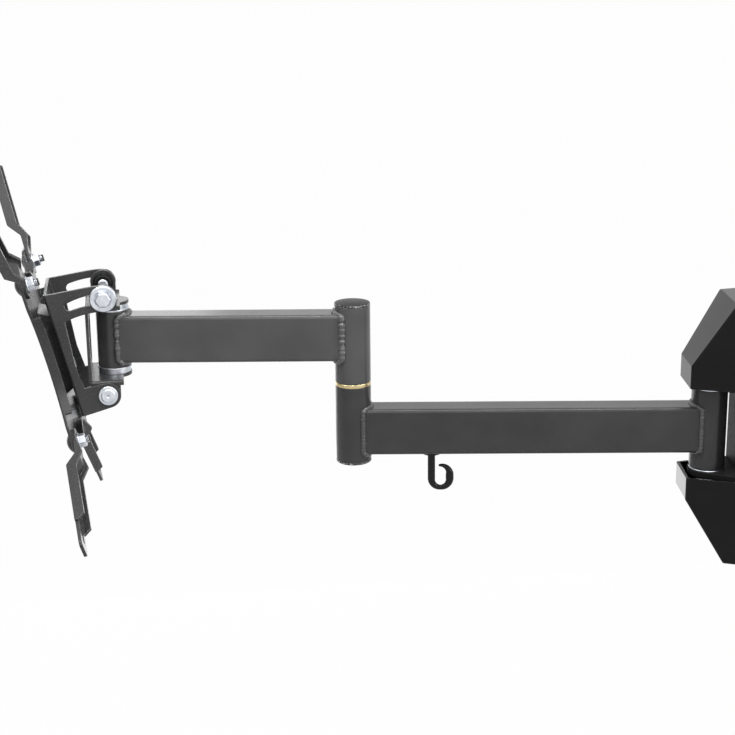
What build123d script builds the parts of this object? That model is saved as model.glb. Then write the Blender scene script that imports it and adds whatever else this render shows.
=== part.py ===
from build123d import *
import os
from math import acos, atan, atan2, cos, degrees, hypot, radians, sin, tan

# A swivel wall mount for a flat screen. Millimetres, +Z up, the wall is the plane Y = 0 and the
# mount stands out from it towards -Y. X = 0 is the plane that the straightened arms lie in.
os.makedirs("parts", exist_ok=True)

# Arms and the posts they turn on
bar_height = 40.0
bar_width = 25.0
bar_wall = 2.0
bar_corner = 3.0
inner_arm_length = 300.0
outer_arm_length = 200.0
post_radius = 15.0
post_wall = 2.5
wall_post_length = 70.0
elbow_post_length = 66.0
elbow_overlap = 39.5
brass_washer_thickness = 3.0
head_post_radius = 13.5
head_post_wall = 2.25
head_post_length = 48.0
bar_end_gap = 0.05

# Pivot bolts, bushes and washers
pivot_bolt_radius = 6.0
pivot_hex_width = 18.0
pivot_head_height = 7.5
pivot_nut_height = 10.0
pivot_washer_radius = 11.5
pivot_washer_thickness = 2.0
bush_length = 14.0
bush_seat_gap = 0.02
running_gap = 0.08
thread_gap = 0.05
bolt_point = 4.0
thrust_washer_thickness = 1.2
face_gap = 0.1

# End caps of the elbow post
cap_lip_thickness = 1.8
cap_plug_length = 7.0
cap_plug_wall = 2.0
cap_crown = 1.2
cap_lip_round = 1.0
cap_clearance = 0.5

# Wall plate and its ears
wall_axis_depth = 27.0
plate_width = 60.0
plate_height = 214.0
plate_thickness = 3.0
plate_corner = 8.0
wall_hole_radius = 4.25
wall_hole_spacing_x = 36.0
wall_hole_spacing_z = 184.0
ear_thickness = 5.0
ear_root_width = 50.0
ear_root_depth = 6.0
ear_tip_radius = 16.0

# Moulded covers over the wall plate
cover_wall = 2.4
cover_mouth_height = 39.0
cover_shoulder_height = 58.5
cover_end_height = 112.5
cover_front_depth = 48.0
cover_end_depth = 15.7
cover_back_half_width = 34.5
cover_front_half_width = 20.5
cover_edge_radius = 2.0
cover_shoulder_radius = 7.0
cover_rib_height = 4.0
cover_rib_places = (60.0, 90.0)

# Cable hook under the inner arm
hook_wire_radius = 3.2
hook_bottom_radius = 2.1
hook_side_radius = 3.4
hook_tip_radius = 1.1
hook_stem_length = 23.6
hook_loop_radius = 7.8
hook_loop_rise = 4.4
hook_tip_turn = 95.0
hook_from_elbow = 66.0
hook_shank_radius = 3.0
hook_shank_length = 10.0
insert_radius = 4.5
insert_flange_radius = 8.1
insert_flange_thickness = 2.2
insert_length = 9.0

# Swivel yoke at the head
head_swivel = 11.0
yoke_sheet = 2.5
yoke_web_spacing = 59.0
yoke_tip_radius = 14.0
yoke_half_width = 30.5
yoke_web_back = 6.7
yoke_strap_depth = 21.5
yoke_lug_radius = 10.5
yoke_lug_reach = 6.5
yoke_window_width = 42.0
yoke_window_height = 44.0
yoke_fold_radius = 2.0
yoke_lug_root = 4.0
yoke_corner = 4.0
spacer_radius = 14.0
head_bolt_radius = 4.0
head_bolt_head_radius = 5.5
head_bolt_head_height = 1.6
head_nut_width = 13.0
head_nut_height = 6.5
head_washer_thickness = 1.5
head_spacer_step = 0.6
lug_half_spacing = 40.8

# Tilt bracket, its slots and its fasteners
head_tilt = 13.8
tilt_travel = 19.0
tilt_sheet = 2.5
tilt_friction_washer = 1.0
tilt_web_top = 95.0
tilt_web_bottom = 11.0
tilt_web_ahead = 25.2
tilt_lobe_width = 21.4
tilt_rail_top = 10.3
tilt_rail_waist = 7.4
tilt_rail_waist_height = 32.0
tilt_shoulder = 8.6
tilt_shoulder_height = 11.6
tilt_fold_radius = 2.2
tilt_slot_width = 8.7
tilt_bolt_radius = 4.0
tilt_bolt_hex = 11.0
tilt_bolt_head = 5.3
tilt_washer_radius = 10.8
tilt_washer_thickness = 2.0
tilt_washer_dish = 0.7
tilt_washer_dish_radius = 6.7
tilt_nut_flange_radius = 8.5
tilt_nut_flange_thickness = 2.0
tilt_nut_height = 8.0
tilt_nut_radius = 6.8
pivot_rivet_radius = 4.0
pivot_rivet_head_radius = 8.0
pivot_rivet_head_height = 1.5
pivot_rivet_step_radius = 5.6
pivot_rivet_step_height = 0.9
pivot_rivet_tail_radius = 6.5
pivot_rivet_tail_height = 2.2
pivot_rivet_dimple_radius = 2.2
pivot_rivet_dimple_depth = 1.4

# Screen plate
screen_sheet = 2.5
screen_plate_depth = 12.5
screen_rim_depth = 8.0
screen_arm_x = 47.0
screen_arm_z = 68.0
screen_lobe_radius = 13.0
screen_side_hollow = 14.0
screen_side_hollow_radius = 96.3
screen_end_hollow = 14.0
screen_end_hollow_radius = 39.1
screen_side_rim = 44.0
screen_end_rim = 24.0
screen_hollow_corner = 9.0
screen_edge_radius = 1.4
dish_width = 50.0
dish_height = 62.0
dish_corner = 8.0
dish_draft = 32.0
dish_rivet_x = 16.0
dish_rivet_z = 20.0
dish_rivet_radius = 3.0
dish_rivet_head_radius = 5.5
dish_rivet_head_height = 1.8
dish_rivet_tail_radius = 4.6
dish_rivet_tail_height = 0.6
vesa_hole_radius = 2.6
vesa_75_spacing = 75.0

# Four swinging arms on the screen plate
arm_length = 116.0
arm_width = 22.0
arm_sheet = 2.5
arm_flange_depth = 8.0
arm_joggle = 8.5
arm_joggle_start = 22.0
arm_joggle_run = 11.0
arm_flange_start = 9.0
arm_tip_length = 24.0
arm_flange_slant = 5.0
arm_tip_width = 17.0
arm_tip_corner = 4.0
arm_bend_radius = 3.0
arm_slot_start = 48.0
arm_slot_tip = 8.0
arm_slot_width = 5.6
arm_bolt_radius = 3.0
arm_bolt_dome_radius = 8.8
arm_bolt_dome_height = 4.2
arm_nut_hex = 10.0
arm_nut_height = 5.0
arm_washer_radius = 6.5
arm_washer_thickness = 1.2
arm_bolt_point = 3.5

# How far each arm is swung outwards from straight up or straight down the plate
near_top_angle = 46.0
near_bottom_angle = 64.0
far_top_angle = 18.0
far_bottom_angle = 38.0

# Places of the axes, worked out from the sizes above
elbow_y = -(wall_axis_depth + inner_arm_length)
head_y = elbow_y - outer_arm_length
outer_arm_z = 2 * elbow_overlap + brass_washer_thickness
upper_post_z = elbow_overlap + brass_washer_thickness
bush_radius = post_radius - post_wall - bush_seat_gap
head_bush_radius = head_post_radius - head_post_wall - bush_seat_gap
pivot_bore_radius = pivot_bolt_radius + running_gap
head_bore_radius = head_bolt_radius + running_gap

wall_post = Plane(origin=(0, -wall_axis_depth, 0))
elbow_post = Plane(origin=(0, elbow_y, 0))
near_x = (cos(radians(head_swivel)), sin(radians(head_swivel)), 0)
head = Plane(origin=(0, head_y, outer_arm_z), x_dir=near_x, z_dir=(0, 0, 1))

# The tilt pivot, and planes that lie in and square to the tilted web
pivot_point = head.from_local_coords((0, -yoke_lug_reach, -lug_half_spacing))
tilt_back = head.y_dir * cos(radians(head_tilt)) + head.z_dir * sin(radians(head_tilt))
yoke_side = Plane(origin=pivot_point, x_dir=head.y_dir, z_dir=head.x_dir)
tilt_side = Plane(origin=pivot_point, x_dir=tilt_back, z_dir=head.x_dir)
tilt_front = Plane(origin=pivot_point, x_dir=head.x_dir, z_dir=tilt_back * -1)
web_front = tilt_front.offset(tilt_web_ahead)
slot_radius = 2 * lug_half_spacing
ear_inner = yoke_half_width + tilt_friction_washer
ear_outer = ear_inner + tilt_sheet
head_middle = Plane(origin=head.origin, x_dir=head.y_dir, z_dir=head.x_dir)

# The middle of the screen plate lies opposite the middle of the web
web_middle = Plane(
    origin=web_front.from_local_coords((0, (tilt_web_top - tilt_web_bottom) / 2, 0)),
    x_dir=web_front.x_dir,
    z_dir=web_front.z_dir,
)
screen_front = web_middle.offset(screen_plate_depth)
screen_back = screen_front.offset(-screen_sheet)


# Shapes that several pieces share, all made at the origin
def flipped(base):
    """The same plane seen from behind."""
    return Plane(origin=base.origin, x_dir=base.x_dir, z_dir=base.z_dir * -1)


def ring(outer, inner, thickness):
    """A flat washer or a short sleeve that stands on the origin."""
    with BuildPart() as made:
        with BuildSketch():
            Circle(outer)
            Circle(inner, mode=Mode.SUBTRACT)
        extrude(amount=thickness)
    return made.part


def hexagon_bolt(radius, hex_width, head_height, length):
    """A hexagon bolt: its shank points up and its head lies below the origin."""
    with BuildPart() as made:
        with BuildSketch():
            Circle(radius)
        extrude(amount=length)
        chamfer(made.faces().sort_by(Axis.Z)[-1].edges(), radius / 6)
        with BuildSketch():
            RegularPolygon(hex_width / 2, 6, major_radius=False)
        extrude(amount=-head_height)
        chamfer(made.faces().sort_by(Axis.Z)[0].edges(), hex_width / 20)
    return made.part


def hexagon_nut(radius, hex_width, height):
    """A hexagon nut that stands on the origin, with its upper corners taken off."""
    with BuildPart() as made:
        with BuildSketch():
            RegularPolygon(hex_width / 2, 6, major_radius=False)
            Circle(radius + thread_gap, mode=Mode.SUBTRACT)
        extrude(amount=height)
        chamfer(made.faces().sort_by(Axis.Z)[-1].outer_wire().edges(), hex_width / 20)
    return made.part


def domed_pin(radius, length, dome_radius, dome_height, flat_radius):
    """A round pin that points down from the origin, with a domed head above it."""
    with BuildPart() as made:
        with BuildSketch(Plane.XZ):
            with BuildLine():
                Line((0, dome_height), (flat_radius, dome_height))
                ThreePointArc(
                    (flat_radius, dome_height),
                    ((flat_radius + dome_radius) / 2, dome_height * 0.72),
                    (dome_radius, 0),
                )
                Polyline(
                    (dome_radius, 0),
                    (radius, 0),
                    (radius, -length),
                    (0, -length),
                    (0, dome_height),
                )
            make_face()
        revolve(axis=Axis.Z)
    return made.part


def tube(outer, wall, length):
    """A length of round tube that stands on the origin, its outer end edges broken."""
    with BuildPart() as made:
        with BuildSketch():
            Circle(outer)
            Circle(outer - wall, mode=Mode.SUBTRACT)
        extrude(amount=length)
        end_circles = made.edges().filter_by(GeomType.CIRCLE)
        chamfer(end_circles.filter_by(lambda edge: edge.radius > outer - wall / 2), wall / 5)
    return made.part


def arm_bar(length, start_radius, end_radius):
    """A rectangular tube between two post axes along -Y, hollowed to fit against the posts."""
    with BuildPart() as made:
        with BuildSketch(Plane.XZ):
            RectangleRounded(bar_width, bar_height, bar_corner)
            RectangleRounded(
                bar_width - 2 * bar_wall,
                bar_height - 2 * bar_wall,
                bar_corner - bar_wall,
                mode=Mode.SUBTRACT,
            )
        extrude(amount=length)
        with BuildSketch(Plane.XY.offset(-bar_height)):
            Circle(start_radius + bar_end_gap)
            with Locations((0, -length)):
                Circle(end_radius + bar_end_gap)
        extrude(amount=2 * bar_height, mode=Mode.SUBTRACT)
    return made.part


def post_cap():
    """A cap with a crowned lip that stands on the origin and a plug that points down."""
    plug = post_radius - post_wall - bush_seat_gap
    with BuildPart() as made:
        with BuildSketch(Plane.XZ):
            with BuildLine():
                ThreePointArc(
                    (0, cap_lip_thickness + cap_crown),
                    (post_radius * 0.55, cap_lip_thickness + cap_crown * 0.7),
                    (post_radius - cap_lip_round, cap_lip_thickness),
                )
                ThreePointArc(
                    (post_radius - cap_lip_round, cap_lip_thickness),
                    (post_radius - cap_lip_round * 0.3, cap_lip_thickness - cap_lip_round * 0.3),
                    (post_radius, cap_lip_thickness - cap_lip_round),
                )
                Polyline(
                    (post_radius, cap_lip_thickness - cap_lip_round),
                    (post_radius, 0),
                    (plug, 0),
                    (plug, -cap_plug_length),
                    (plug - cap_plug_wall, -cap_plug_length),
                    (plug - cap_plug_wall, 0),
                    (0, 0),
                    (0, cap_lip_thickness + cap_crown),
                )
            make_face()
        revolve(axis=Axis.Z)
    return made.part


pivot_washer = ring(pivot_washer_radius, pivot_bore_radius, pivot_washer_thickness)
pivot_nut = hexagon_nut(pivot_bolt_radius, pivot_hex_width, pivot_nut_height)
post_bush = ring(bush_radius, pivot_bore_radius, bush_length)

# Wall plate: a flat stamping with four holes for the wall screws
with BuildPart() as wall_plate:
    with BuildSketch(Plane.XZ):
        RectangleRounded(plate_width, plate_height, plate_corner)
        with GridLocations(wall_hole_spacing_x, wall_hole_spacing_z, 2, 2):
            Circle(wall_hole_radius, mode=Mode.SUBTRACT)
    extrude(amount=plate_thickness)
    front_edges = wall_plate.faces().sort_by(Axis.Y)[0].outer_wire().edges()
    fillet(front_edges, 0.6)

wall_plate.part.label = "wall_plate"
export_step(wall_plate.part, "parts/wall_plate.step")

# Ears: two tongues welded square to the wall plate, one above and one below the wall post
ear_clear = wall_post_length / 2 + thrust_washer_thickness + face_gap
ear_outside = ear_clear + ear_thickness

with BuildPart() as upper_ear:
    with BuildSketch(Plane.XY.offset(ear_clear)):
        with Locations((0, -wall_axis_depth)):
            Circle(ear_tip_radius)
        with Locations((0, -plate_thickness - ear_root_depth / 2)):
            Rectangle(ear_root_width, ear_root_depth)
        make_hull()
        with Locations((0, -wall_axis_depth)):
            Circle(pivot_bore_radius, mode=Mode.SUBTRACT)
    extrude(amount=ear_thickness)
    for face in (upper_ear.faces().sort_by(Axis.Z)[0], upper_ear.faces().sort_by(Axis.Z)[-1]):
        fillet(face.outer_wire().edges().sort_by(Axis.Y)[:1], 0.5)

upper_ear.part.label = "upper_ear"
export_step(upper_ear.part, "parts/upper_ear.step")

with BuildPart() as lower_ear:
    mirror(upper_ear.part, about=Plane.XY)

lower_ear.part.label = "lower_ear"
export_step(lower_ear.part, "parts/lower_ear.step")


# Covers: thin shells that taper to the front, slope back at their outer end, and are open
# towards the wall and towards the arm
def cover_solid(inset):
    """The outside of a cover moved inwards by the inset, from the arm's centre line outwards."""
    slope = atan2(cover_end_height - cover_shoulder_height, cover_front_depth - cover_end_depth)
    side_lean = atan((cover_back_half_width - cover_front_half_width) / cover_front_depth)
    shoulder = cover_shoulder_height - inset * (1 - sin(slope)) / cos(slope)
    front = cover_front_depth - inset
    end = cover_end_height - inset
    end_depth = front - (end - shoulder) / tan(slope)
    back = cover_back_half_width - inset / cos(side_lean)
    reach = cover_front_depth * 1.2
    with BuildPart() as made:
        with BuildSketch(Plane.YZ):
            with BuildLine():
                Polyline((0, end), (-end_depth, end), (-front, shoulder), (-front, 0), (0, 0), close=True)
            make_face()
            shoulder_corner = vertices().sort_by_distance((0, -front, shoulder))[0]
            fillet(shoulder_corner, cover_shoulder_radius - inset)
        extrude(amount=cover_back_half_width, both=True)
        with BuildSketch(Plane.XY):
            with BuildLine():
                Polyline(
                    (back, 0),
                    (back - tan(side_lean) * reach, -reach),
                    (tan(side_lean) * reach - back, -reach),
                    (-back, 0),
                    close=True,
                )
            make_face()
        extrude(amount=cover_end_height, mode=Mode.INTERSECT)
    return made.part


cover_outside = cover_solid(0)
cover_inside = cover_solid(cover_wall)
rib_start = plate_width / 2 + bar_end_gap
rib_reach = cover_back_half_width - cover_wall / 2 - rib_start

with BuildPart() as upper_cover:
    add(cover_outside)
    seen_edges = upper_cover.edges().filter_by(lambda edge: edge.center().Y < -0.5 and edge.center().Z > 1)
    fillet(seen_edges, cover_edge_radius)
    add(cover_inside, mode=Mode.SUBTRACT)
    for height in cover_rib_places:
        with BuildSketch(Plane.XY.offset(height)):
            with Locations(
                (rib_start + rib_reach / 2, -plate_thickness / 2),
                (-rib_start - rib_reach / 2, -plate_thickness / 2),
            ):
                Rectangle(rib_reach, plate_thickness)
        extrude(amount=cover_rib_height)
    split(bisect_by=Plane.XY.offset(cover_mouth_height), keep=Keep.TOP)

upper_cover.part.label = "upper_cover"
export_step(upper_cover.part, "parts/upper_cover.step")

with BuildPart() as lower_cover:
    mirror(upper_cover.part, about=Plane.XY)

lower_cover.part.label = "lower_cover"
export_step(lower_cover.part, "parts/lower_cover.step")

# Wall pivot: one long bolt down through the upper ear, the wall post and the lower ear
wall_bolt_seat = ear_outside + pivot_washer_thickness
wall_bolt_length = 2 * wall_bolt_seat + pivot_nut_height + bolt_point
wall_bolt_shape = hexagon_bolt(pivot_bolt_radius, pivot_hex_width, pivot_head_height, wall_bolt_length)

with BuildPart() as wall_bolt:
    with Locations(flipped(wall_post.offset(wall_bolt_seat))):
        add(wall_bolt_shape)

wall_bolt.part.label = "wall_bolt"
export_step(wall_bolt.part, "parts/wall_bolt.step")

with BuildPart() as wall_nut:
    with Locations(flipped(wall_post.offset(-wall_bolt_seat))):
        add(pivot_nut)

wall_nut.part.label = "wall_nut"
export_step(wall_nut.part, "parts/wall_nut.step")

with BuildPart() as wall_washers:
    with Locations(wall_post.offset(ear_outside), wall_post.offset(-wall_bolt_seat)):
        add(pivot_washer)

wall_washers.part.label = "wall_washers"
export_step(wall_washers.part, "parts/wall_washers.step")

# Wall post with its bushes, and a thin washer on each of its ends
wall_post_shape = tube(post_radius, post_wall, wall_post_length)
thrust_washer = ring(post_radius, pivot_bore_radius, thrust_washer_thickness)
wall_post_end = wall_post_length / 2

with BuildPart() as wall_post_tube:
    with Locations(wall_post.offset(-wall_post_end)):
        add(wall_post_shape)

wall_post_tube.part.label = "wall_post"
export_step(wall_post_tube.part, "parts/wall_post.step")

with BuildPart() as wall_bushes:
    with Locations(wall_post.offset(wall_post_end - bush_length), wall_post.offset(-wall_post_end)):
        add(post_bush)

wall_bushes.part.label = "wall_bushes"
export_step(wall_bushes.part, "parts/wall_bushes.step")

with BuildPart() as wall_thrust_washers:
    with Locations(
        wall_post.offset(wall_post_end),
        wall_post.offset(-wall_post_end - thrust_washer_thickness),
    ):
        add(thrust_washer)

wall_thrust_washers.part.label = "wall_thrust_washers"
export_step(wall_thrust_washers.part, "parts/wall_thrust_washers.step")

# Arm bars: the inner one has a hole underneath for the hook's insert
hook_y = elbow_y + hook_from_elbow
bar_underside = -bar_height / 2
inner_bar_shape = arm_bar(inner_arm_length, post_radius, post_radius)
outer_bar_shape = arm_bar(outer_arm_length, post_radius, head_post_radius)

with BuildPart() as inner_arm_bar:
    with Locations(wall_post):
        add(inner_bar_shape)
    with BuildSketch(Plane(origin=(0, hook_y, bar_underside))):
        Circle(insert_radius + thread_gap)
    extrude(amount=2 * bar_wall, both=True, mode=Mode.SUBTRACT)

inner_arm_bar.part.label = "inner_arm_bar"
export_step(inner_arm_bar.part, "parts/inner_arm_bar.step")

with BuildPart() as outer_arm_bar:
    with Locations(elbow_post.offset(outer_arm_z)):
        add(outer_bar_shape)

outer_arm_bar.part.label = "outer_arm_bar"
export_step(outer_arm_bar.part, "parts/outer_arm_bar.step")

# Elbow: two posts on one bolt, with a brass washer between them and a cap on each end
lower_post_bottom = elbow_overlap - elbow_post_length
upper_post_top = upper_post_z + elbow_post_length
elbow_bolt_seat = lower_post_bottom + cap_plug_length + cap_clearance + pivot_head_height
elbow_nut_seat = upper_post_top - cap_plug_length - cap_clearance - bolt_point / 2 - pivot_nut_height
elbow_bolt_length = elbow_nut_seat + pivot_nut_height + bolt_point / 2 - elbow_bolt_seat
elbow_post_shape = tube(post_radius, post_wall, elbow_post_length)
brass_washer_shape = ring(post_radius, pivot_bore_radius, brass_washer_thickness)
elbow_bolt_shape = hexagon_bolt(
    pivot_bolt_radius, pivot_hex_width, pivot_head_height, elbow_bolt_length
)
cap_shape = post_cap()

with BuildPart() as elbow_lower_post:
    with Locations(elbow_post.offset(lower_post_bottom)):
        add(elbow_post_shape)

elbow_lower_post.part.label = "elbow_lower_post"
export_step(elbow_lower_post.part, "parts/elbow_lower_post.step")

with BuildPart() as elbow_upper_post:
    with Locations(elbow_post.offset(upper_post_z)):
        add(elbow_post_shape)

elbow_upper_post.part.label = "elbow_upper_post"
export_step(elbow_upper_post.part, "parts/elbow_upper_post.step")

with BuildPart() as elbow_lower_bushes:
    with Locations(
        elbow_post.offset(elbow_bolt_seat + pivot_washer_thickness),
        elbow_post.offset(elbow_overlap - bush_length),
    ):
        add(post_bush)

elbow_lower_bushes.part.label = "elbow_lower_bushes"
export_step(elbow_lower_bushes.part, "parts/elbow_lower_bushes.step")

with BuildPart() as elbow_upper_bushes:
    with Locations(
        elbow_post.offset(upper_post_z),
        elbow_post.offset(elbow_nut_seat - pivot_washer_thickness - bush_length),
    ):
        add(post_bush)

elbow_upper_bushes.part.label = "elbow_upper_bushes"
export_step(elbow_upper_bushes.part, "parts/elbow_upper_bushes.step")

with BuildPart() as brass_washer:
    with Locations(elbow_post.offset(elbow_overlap)):
        add(brass_washer_shape)

brass_washer.part.label = "brass_washer"
export_step(brass_washer.part, "parts/brass_washer.step")

with BuildPart() as elbow_bolt:
    with Locations(elbow_post.offset(elbow_bolt_seat)):
        add(elbow_bolt_shape)

elbow_bolt.part.label = "elbow_bolt"
export_step(elbow_bolt.part, "parts/elbow_bolt.step")

with BuildPart() as elbow_nut:
    with Locations(elbow_post.offset(elbow_nut_seat)):
        add(pivot_nut)

elbow_nut.part.label = "elbow_nut"
export_step(elbow_nut.part, "parts/elbow_nut.step")

with BuildPart() as elbow_washers:
    with Locations(
        elbow_post.offset(elbow_bolt_seat),
        elbow_post.offset(elbow_nut_seat - pivot_washer_thickness),
    ):
        add(pivot_washer)

elbow_washers.part.label = "elbow_washers"
export_step(elbow_washers.part, "parts/elbow_washers.step")

with BuildPart() as elbow_top_cap:
    with Locations(elbow_post.offset(upper_post_top)):
        add(cap_shape)

elbow_top_cap.part.label = "elbow_top_cap"
export_step(elbow_top_cap.part, "parts/elbow_top_cap.step")

with BuildPart() as elbow_bottom_cap:
    with Locations(flipped(elbow_post.offset(lower_post_bottom))):
        add(cap_shape)

elbow_bottom_cap.part.label = "elbow_bottom_cap"
export_step(elbow_bottom_cap.part, "parts/elbow_bottom_cap.step")

# Cable hook: a wire bent round to a pigtail, screwed into a flanged insert in the arm
hook_foot = bar_underside - insert_flange_thickness
hook_loop_z = hook_foot - hook_stem_length
hook_loop_y = hook_y + hook_loop_radius

with BuildPart() as hook_insert:
    with BuildSketch(Plane(origin=(0, hook_y, hook_foot))):
        Circle(insert_flange_radius)
    extrude(amount=insert_flange_thickness)
    with BuildSketch(Plane(origin=(0, hook_y, bar_underside))):
        Circle(insert_radius)
    extrude(amount=insert_length)
    with BuildSketch(Plane(origin=(0, hook_y, hook_foot))):
        Circle(hook_shank_radius + thread_gap)
    extrude(amount=insert_flange_thickness + insert_length, mode=Mode.SUBTRACT)

hook_insert.part.label = "hook_insert"
export_step(hook_insert.part, "parts/hook_insert.step")


def hook_bend(rise, start, turn, start_radius, end_radius):
    """A bend of the hook's wire about a point above its loop's middle, thinning as it goes round."""
    with BuildPart() as made:
        with BuildLine(Plane.YZ) as bend:
            CenterArc((hook_loop_y, hook_loop_z + rise), hook_loop_radius, start, turn)
        with BuildSketch(Plane(origin=bend.wire() @ 0, z_dir=bend.wire() % 0)):
            Circle(start_radius)
        with BuildSketch(Plane(origin=bend.wire() @ 1, z_dir=bend.wire() % 1)):
            Circle(end_radius)
        sweep(path=bend.wire(), multisection=True)
        if end_radius == hook_tip_radius:
            with Locations(bend.wire() @ 1):
                Sphere(hook_tip_radius)
    return made.part


hook_first_bend = hook_bend(0, 180, 90, hook_wire_radius, hook_bottom_radius)
hook_second_bend = hook_bend(0, 270, 90, hook_bottom_radius, hook_side_radius)
hook_curl = hook_bend(hook_loop_rise, 0, hook_tip_turn, hook_side_radius, hook_tip_radius)

with BuildPart() as cable_hook:
    with BuildSketch(Plane(origin=(0, hook_y, hook_loop_z))):
        Circle(hook_wire_radius)
    extrude(amount=hook_stem_length)
    with BuildSketch(Plane(origin=(0, hook_y, hook_foot))):
        Circle(hook_shank_radius)
    extrude(amount=hook_shank_length)
    add(hook_first_bend)
    add(hook_second_bend)
    with BuildSketch(Plane(origin=(0, hook_loop_y + hook_loop_radius, hook_loop_z))):
        Circle(hook_side_radius)
    extrude(amount=hook_loop_rise)
    add(hook_curl)

cable_hook.part.label = "cable_hook"
export_step(cable_hook.part, "parts/cable_hook.step")

# Head post at the end of the outer arm, with its bushes
head_post_end = head_post_length / 2
head_post_shape = tube(head_post_radius, head_post_wall, head_post_length)
head_bush_shape = ring(head_bush_radius, head_bore_radius, bush_length)

with BuildPart() as head_post:
    with Locations((0, head_y, outer_arm_z - head_post_end)):
        add(head_post_shape)

head_post.part.label = "head_post"
export_step(head_post.part, "parts/head_post.step")

with BuildPart() as head_bushes:
    with Locations(
        (0, head_y, outer_arm_z + head_post_end - bush_length),
        (0, head_y, outer_arm_z - head_post_end),
    ):
        add(head_bush_shape)

head_bushes.part.label = "head_bushes"
export_step(head_bushes.part, "parts/head_bushes.step")

# Between the head post and the yoke: a bright washer and a spacer at each end
web_inside = yoke_web_spacing / 2
web_outside = web_inside + yoke_sheet
spacer_height = web_inside - head_post_end - head_washer_thickness - face_gap
head_washer_shape = ring(spacer_radius, head_bore_radius, head_washer_thickness)
spacer_shape = ring(spacer_radius - head_spacer_step, head_bore_radius, spacer_height)
washer_lift = head_post_end + face_gap

with BuildPart() as head_thrust_washers:
    with Locations(head.offset(washer_lift), head.offset(-washer_lift - head_washer_thickness)):
        add(head_washer_shape)

head_thrust_washers.part.label = "head_thrust_washers"
export_step(head_thrust_washers.part, "parts/head_thrust_washers.step")

with BuildPart() as head_spacers:
    with Locations(head.offset(web_inside - spacer_height), head.offset(-web_inside)):
        add(spacer_shape)

head_spacers.part.label = "head_spacers"
export_step(head_spacers.part, "parts/head_spacers.step")

# Swivel yoke: one folded sheet with a windowed strap, two webs and four lugs
strap_front = Plane(
    origin=head.from_local_coords((0, -yoke_strap_depth, 0)), x_dir=head.x_dir, z_dir=head.y_dir * -1
)
lug_root = lug_half_spacing - web_inside
lug_root_width = yoke_web_back + yoke_lug_reach

with BuildPart() as swivel_yoke:
    with BuildSketch(strap_front):
        Rectangle(2 * yoke_half_width, 2 * web_outside)
    extrude(amount=-yoke_sheet)
    for bottom in (web_inside, -web_outside):
        with BuildSketch(head.offset(bottom)):
            Circle(yoke_tip_radius)
            with Locations((0, (yoke_web_back - yoke_strap_depth) / 2)):
                Rectangle(2 * yoke_half_width, yoke_web_back + yoke_strap_depth)
        extrude(amount=yoke_sheet)
    outer_folds = swivel_yoke.edges().filter_by(Axis(head.origin, head.x_dir))
    outer_folds = outer_folds.filter_by(
        lambda edge: head.to_local_coords(edge.center()).Y < 0.1 - yoke_strap_depth
    )
    fillet(outer_folds, yoke_fold_radius)
    for side in (1, -1):
        with BuildSketch(yoke_side.offset(side * yoke_half_width)):
            with Locations((0, 0), (0, slot_radius)):
                Circle(yoke_lug_radius)
            with Locations((0, lug_root / 2), (0, slot_radius - lug_root / 2)):
                Rectangle(2 * yoke_lug_radius, lug_root)
            with Locations(
                (lug_root_width / 2, lug_root - yoke_lug_root / 2),
                (lug_root_width / 2, slot_radius - lug_root + yoke_lug_root / 2),
            ):
                Rectangle(lug_root_width, yoke_lug_root)
        extrude(amount=-side * yoke_sheet)
    side_folds = swivel_yoke.edges().filter_by(Axis(head.origin, head.y_dir))
    side_folds = side_folds.filter_by(
        lambda edge: abs(abs(head.to_local_coords(edge.center()).X) - yoke_half_width) < 0.1
        and abs(abs(head.to_local_coords(edge.center()).Z) - web_inside) < 0.1
    )
    fillet(side_folds, yoke_fold_radius)
    with BuildSketch(strap_front):
        RectangleRounded(yoke_window_width, yoke_window_height, yoke_corner)
    extrude(amount=-yoke_sheet, mode=Mode.SUBTRACT)
    with BuildSketch(head.offset(-web_outside)):
        Circle(head_bore_radius)
    extrude(amount=2 * web_outside, mode=Mode.SUBTRACT)
    with BuildSketch(yoke_side.offset(-yoke_half_width)):
        with Locations((0, 0), (0, slot_radius)):
            Circle(tilt_bolt_radius + thread_gap)
    extrude(amount=2 * yoke_half_width, mode=Mode.SUBTRACT)

swivel_yoke.part.label = "swivel_yoke"
export_step(swivel_yoke.part, "parts/swivel_yoke.step")

# Head bolt: down through the yoke and the head post, with a low round head and its nut below
head_bolt_shape = domed_pin(
    head_bolt_radius,
    2 * web_outside + head_nut_height + bolt_point / 2,
    head_bolt_head_radius,
    head_bolt_head_height,
    head_bolt_radius,
)
head_nut_shape = hexagon_nut(head_bolt_radius, head_nut_width, head_nut_height)

with BuildPart() as head_bolt:
    with Locations(head.offset(web_outside)):
        add(head_bolt_shape)

head_bolt.part.label = "head_bolt"
export_step(head_bolt.part, "parts/head_bolt.step")

with BuildPart() as head_nut:
    with Locations(flipped(head.offset(-web_outside))):
        add(head_nut_shape)

head_nut.part.label = "head_nut"
export_step(head_nut.part, "parts/head_nut.step")

# Tilt bracket: a folded channel whose ears have a slotted upper lobe and a pivot lobe
lobe_outer = slot_radius + tilt_lobe_width / 2
web_top_angle = atan2(-tilt_web_ahead, tilt_web_top)
lobe_touch = web_top_angle + acos(lobe_outer / hypot(tilt_web_ahead, tilt_web_top))
lobe_touch_point = (lobe_outer * sin(lobe_touch), lobe_outer * cos(lobe_touch))
web_slot_angle = degrees(atan2(tilt_web_ahead, slot_radius))
lobe_line = CenterArc((0, 0), slot_radius, 90 - head_tilt, head_tilt + web_slot_angle)
slot_line = CenterArc((0, 0), slot_radius, 90 - head_tilt, tilt_travel)

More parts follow.
